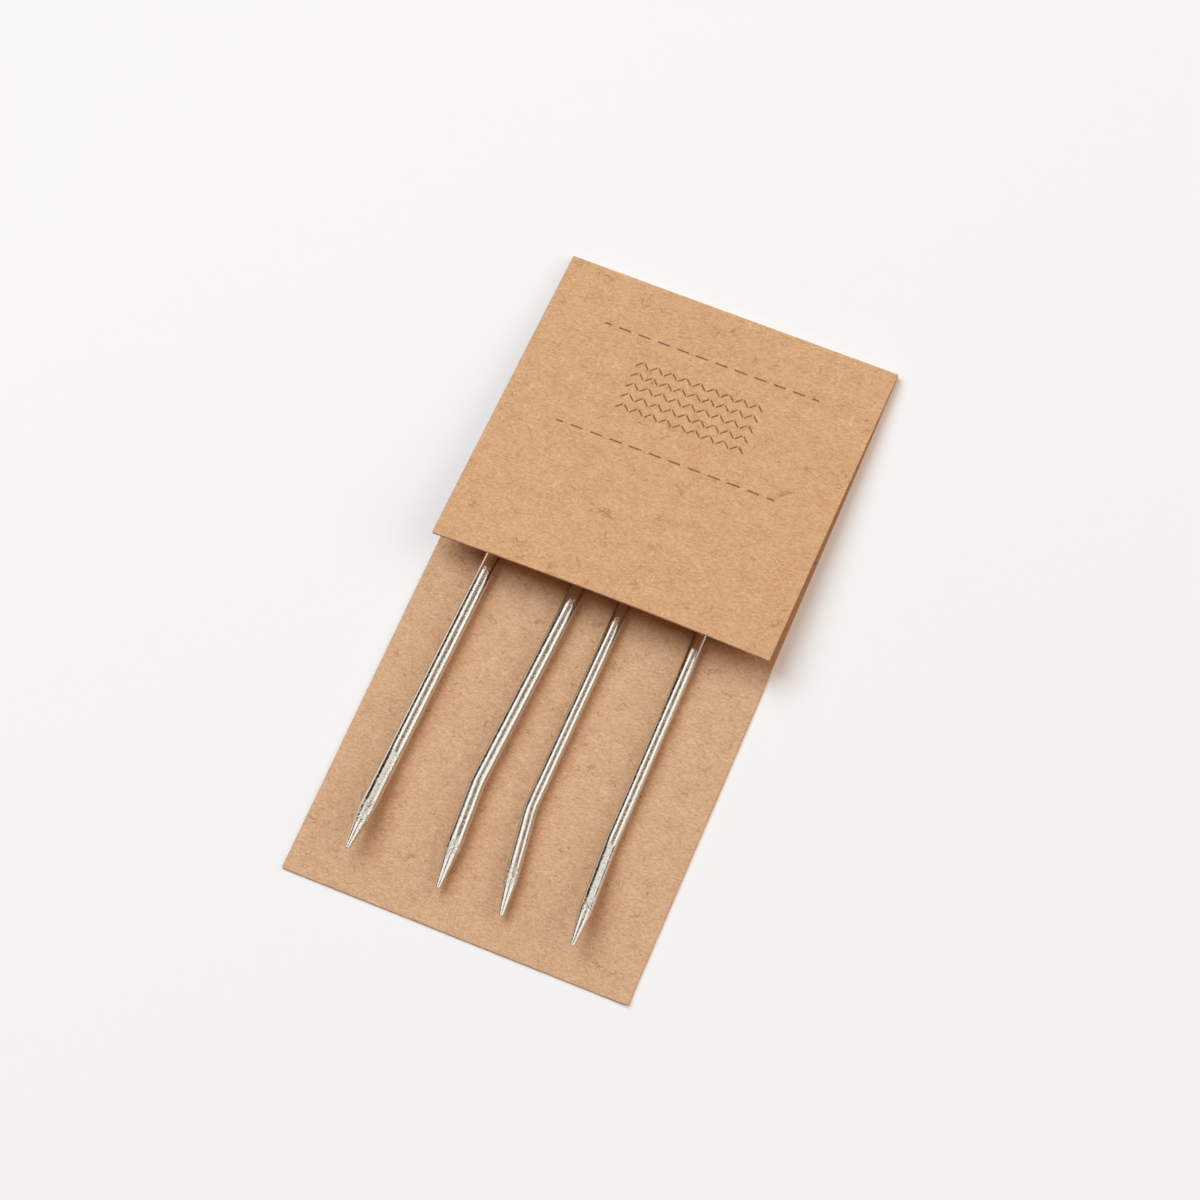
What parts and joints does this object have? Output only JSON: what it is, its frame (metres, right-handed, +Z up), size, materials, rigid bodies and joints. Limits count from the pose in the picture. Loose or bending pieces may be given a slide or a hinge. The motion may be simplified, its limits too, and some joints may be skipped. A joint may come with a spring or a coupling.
{
  "type": "carded bent-tip yarn needles",
  "caption": "Folded kraft card that holds nickel-plated blunt tapestry needles with bent tips in a paper band; the flap lifts and each needle slides out.",
  "frame": {"origin": "middle of the back panel's underside, taken over the closed card's outline from its free edge to its fold", "axes": "+Y along the card towards the fold, the needles' tips pointing to -Y; +Z up out of the card, +X to the right as the tips point to the viewer"},
  "size_m": [0.0511, 0.1028, 0.006],
  "materials": {
    "kraft_card": "matt, uncoated, flecked",
    "kraft_paper": "matt, uncoated",
    "nickel_plate": "bright nickel plate on steel wire, lightly pitted"
  },
  "bodies": {
    "card": {"back_panel": "kraft_card", "needle_band": "kraft_paper"},
    "flap": {"front_flap": "kraft_card"},
    "outer_left_needle": {"outer_left_needle": "nickel_plate"},
    "inner_left_needle": {"inner_left_needle": "nickel_plate"},
    "inner_right_needle": {"inner_right_needle": "nickel_plate"},
    "outer_right_needle": {"outer_right_needle": "nickel_plate"}
  },
  "joints": [
    {"name": "flap_crease", "type": "hinge", "parent": "card", "child": "flap", "pos_m": [0, 0.05135, 0.0007], "axis": [-1, 0, 0], "range_deg": [-1.8, 175], "stiffness_Nm_per_rad": 0.004, "springref_deg": 2.64},
    {"name": "outer_left_pull", "type": "slide", "parent": "card", "child": "outer_left_needle", "axis": [-0.0227, -0.9997, 0], "range_m": [-0.003, 0.0215]},
    {"name": "inner_left_pull", "type": "slide", "parent": "card", "child": "inner_left_needle", "axis": [-0.0454, -0.999, 0], "range_m": [-0.003, 0.0215]},
    {"name": "inner_right_pull", "type": "slide", "parent": "card", "child": "inner_right_needle", "axis": [-0.0061, -1, 0], "range_m": [-0.003, 0.0175]},
    {"name": "outer_right_pull", "type": "slide", "parent": "card", "child": "outer_right_needle", "axis": [0.007, -1, 0], "range_m": [-0.003, 0.017]}
  ]
}
